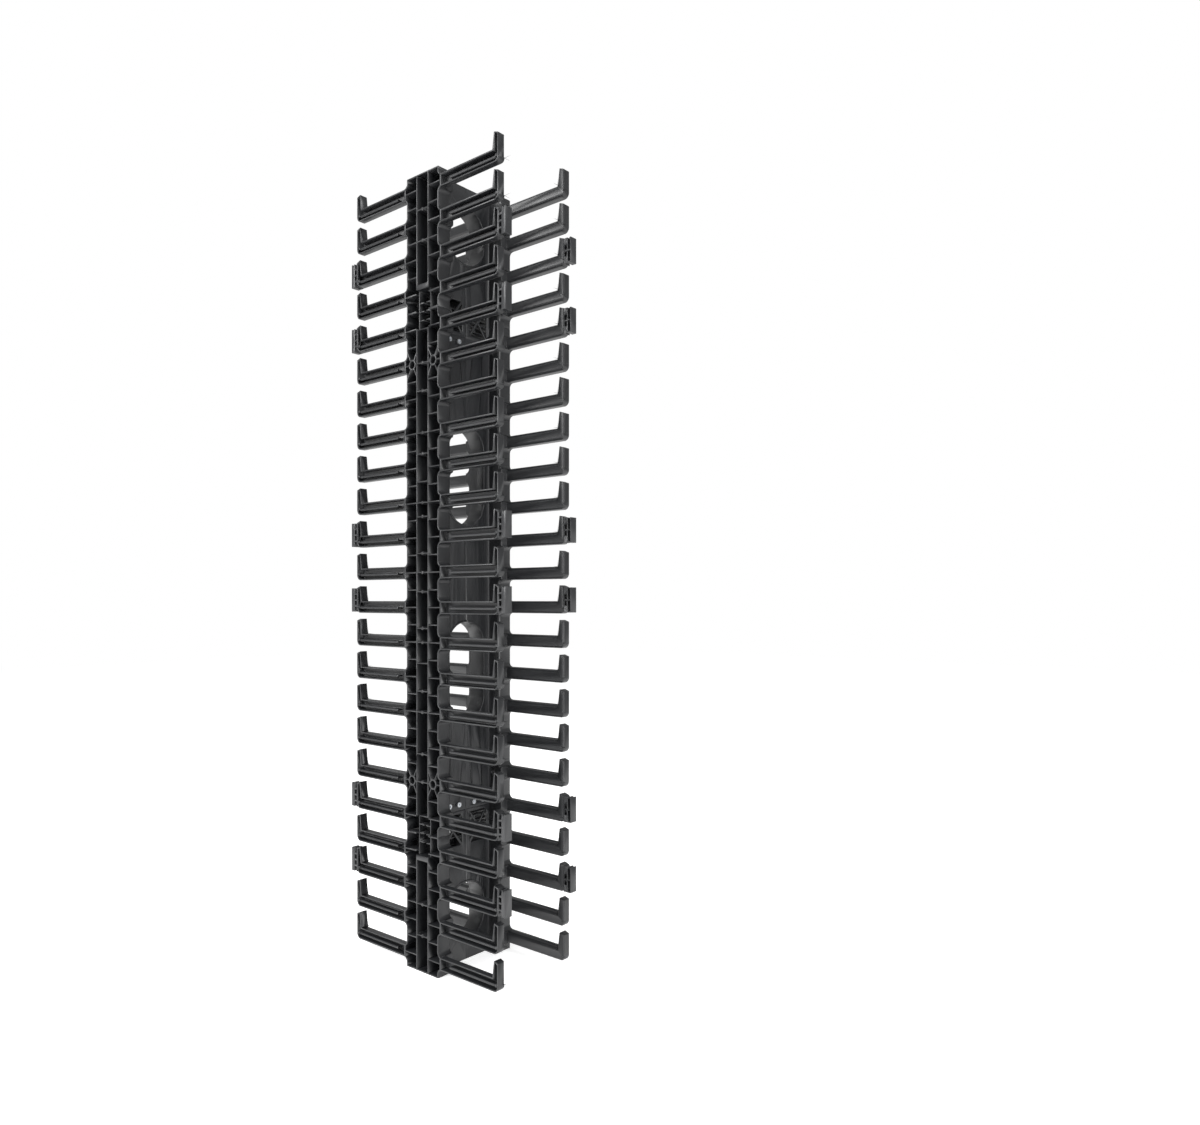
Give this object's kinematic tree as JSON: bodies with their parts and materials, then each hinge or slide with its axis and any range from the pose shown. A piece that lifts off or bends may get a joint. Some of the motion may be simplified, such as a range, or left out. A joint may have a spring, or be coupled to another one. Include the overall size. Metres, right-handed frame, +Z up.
{
  "type": "vertical cable manager",
  "caption": "Tall double-sided cable duct: two finger combs joined by a hollow web with oval pass-throughs and clip-on cover brackets.",
  "frame": {"origin": "centre of the foot, midway between the two walls, on the floor", "axes": "+X to the front fingers, +Y across the width to the right wall, +Z up"},
  "size_m": [0.298, 0.127, 1.0254],
  "materials": {
    "frame": "satin moulded",
    "clip": "satin moulded",
    "screw": "zinc plated"
  },
  "bodies": {
    "root": {"left_upper_frame": "frame", "left_middle_frame": "frame", "left_lower_frame": "frame", "right_upper_frame": "frame", "right_middle_frame": "frame", "right_lower_frame": "frame", "left_front_clip_1": "clip", "left_front_clip_2": "clip", "left_front_clip_3": "clip", "left_front_clip_4": "clip", "left_front_clip_5": "clip", "left_front_clip_6": "clip", "left_rear_clip_1": "clip", "left_rear_clip_2": "clip", "left_rear_clip_3": "clip", "left_rear_clip_4": "clip", "left_rear_clip_5": "clip", "left_rear_clip_6": "clip", "right_front_clip_1": "clip", "right_front_clip_2": "clip", "right_front_clip_3": "clip", "right_front_clip_4": "clip", "right_front_clip_5": "clip", "right_front_clip_6": "clip", "right_rear_clip_1": "clip", "right_rear_clip_2": "clip", "right_rear_clip_3": "clip", "right_rear_clip_4": "clip", "right_rear_clip_5": "clip", "right_rear_clip_6": "clip", "seam_screws": "screw", "upper_splice_screws": "screw", "lower_splice_screws": "screw"}
  },
  "joints": []
}
